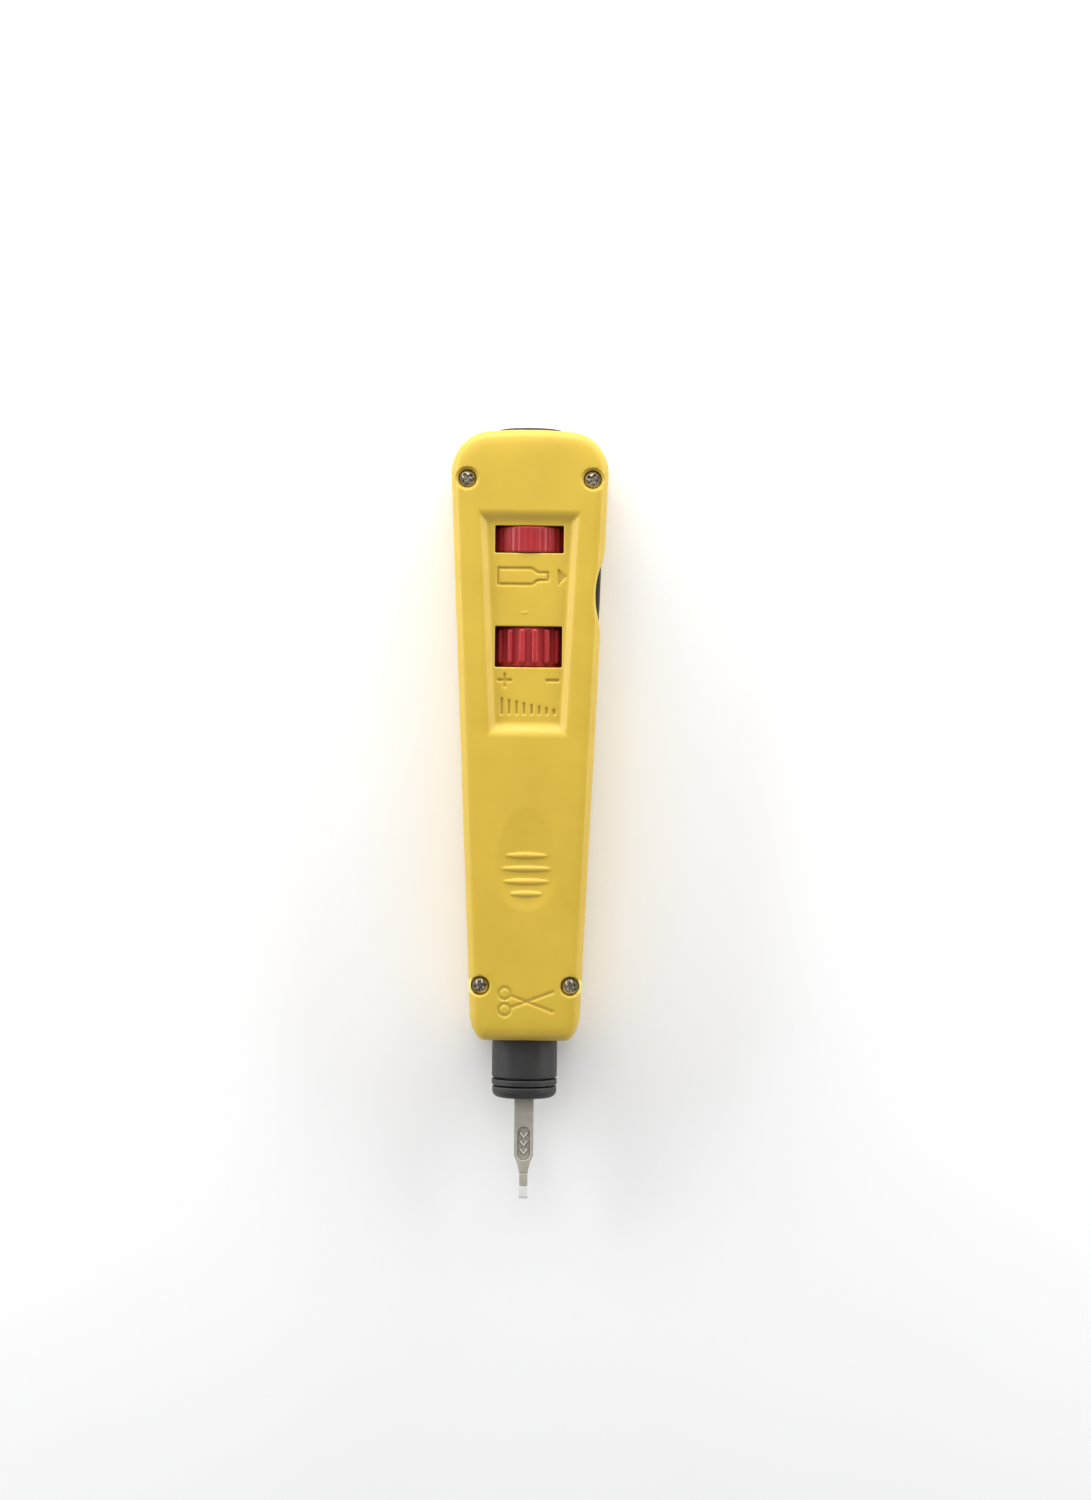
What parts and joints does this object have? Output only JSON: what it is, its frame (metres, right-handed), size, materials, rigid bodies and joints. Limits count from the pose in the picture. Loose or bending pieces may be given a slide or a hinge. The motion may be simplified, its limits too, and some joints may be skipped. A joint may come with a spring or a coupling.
{
  "type": "punch down tool",
  "caption": "Impact punch down tool: tapered two-shell handle with thumbwheels, a sprung nose holding a turn-to-lock blade, blade storage in the butt and fold-out pick and hook.",
  "frame": {"origin": "middle of the tool's length and width, on the flat back face that it lies on", "axes": "+Z out of the front face with the thumbwheel windows, +Y from the blade tip towards the butt, +X to the side with the folding pick and hook"},
  "size_m": [0.0336, 0.165, 0.02],
  "materials": {
    "yellow_plastic": "moulded ABS with a fine satin texture",
    "red_plastic": "satin moulded plastic",
    "black_plastic": "satin glass-filled nylon",
    "zinc_steel": "turned and zinc plated",
    "spring_steel": "drawn spring wire and strip",
    "blade_steel": "matt heat-treated tool steel",
    "ground_steel": "freshly ground",
    "hook_steel": "black oxide stamped steel",
    "brass": "turned brass"
  },
  "bodies": {
    "housing": {"front_shell": "yellow_plastic", "rear_shell": "yellow_plastic", "screw_butt_left": "zinc_steel", "screw_butt_right": "zinc_steel", "screw_nose_left": "zinc_steel", "screw_nose_right": "zinc_steel", "guide_tube": "zinc_steel", "trip_cam": "zinc_steel", "butt_cap": "black_plastic", "thrust_washer": "zinc_steel", "wheel_click_spring": "spring_steel", "drum_click_spring": "spring_steel"},
    "plunger": {"blade_holder": "black_plastic", "lock_ring": "black_plastic", "nose_cap": "black_plastic", "blade_clip": "spring_steel", "ram": "zinc_steel", "ram_pin": "zinc_steel", "return_spring": "spring_steel"},
    "hammer": {"hammer": "zinc_steel", "main_spring": "spring_steel"},
    "latch": {"latch": "zinc_steel", "latch_spring": "spring_steel"},
    "blade": {"blade_body": "blade_steel", "blade_cutter": "ground_steel"},
    "impact_wheel": {"impact_wheel": "red_plastic", "adjuster_screw": "zinc_steel"},
    "spring_seat": {"spring_seat": "brass"},
    "storage_drum": {"storage_drum": "red_plastic"},
    "pick": {"pick": "black_plastic"},
    "wire_hook": {"wire_hook": "hook_steel"}
  },
  "joints": [
    {"name": "plunger_slide", "type": "slide", "parent": "housing", "child": "plunger", "axis": [0, 1, 0], "range_m": [0, 0.009], "stiffness_N_per_m": 900, "springref_m": -0.003, "deforming": ["return_spring"]},
    {"name": "hammer_slide", "type": "slide", "parent": "housing", "child": "hammer", "axis": [0, 1, 0], "range_m": [0, 0.009], "deforming": ["main_spring"]},
    {"name": "latch_slide", "type": "slide", "parent": "hammer", "child": "latch", "axis": [1, 0, 0], "range_m": [0, 0.0012], "stiffness_N_per_m": 60, "springref_m": -0.001, "deforming": ["latch_spring"]},
    {"name": "blade_turn", "type": "hinge", "parent": "plunger", "child": "blade", "pos_m": [0, -0.0607, 0.01], "axis": [0, 1, 0], "range_deg": [0, 90]},
    {"name": "impact_wheel_turn", "type": "hinge", "parent": "housing", "child": "impact_wheel", "pos_m": [0, 0.0357, 0.01], "axis": [0, 1, 0], "range_deg": [-150, 150]},
    {"name": "seat_slide", "type": "slide", "parent": "housing", "child": "spring_seat", "axis": [0, 1, 0], "range_m": [-0.00125, 0.00125]},
    {"name": "drum_turn", "type": "hinge", "parent": "housing", "child": "storage_drum", "pos_m": [0, 0.0586, 0.01], "axis": [0, 1, 0], "continuous": true},
    {"name": "pick_fold", "type": "hinge", "parent": "housing", "child": "pick", "pos_m": [0.0133, 0.0714, 0.0115], "axis": [0, 0, 1], "range_deg": [0, 180]},
    {"name": "hook_fold", "type": "hinge", "parent": "housing", "child": "wire_hook", "pos_m": [0.0133, 0.0714, 0.0085], "axis": [0, 0, 1], "range_deg": [0, 180]}
  ],
  "couplings": [
    {"joint": "hammer_slide", "follows": "plunger_slide", "ratio": 1},
    {"joint": "impact_wheel_turn", "follows": "seat_slide", "rad_per_m": 2094.4}
  ]
}
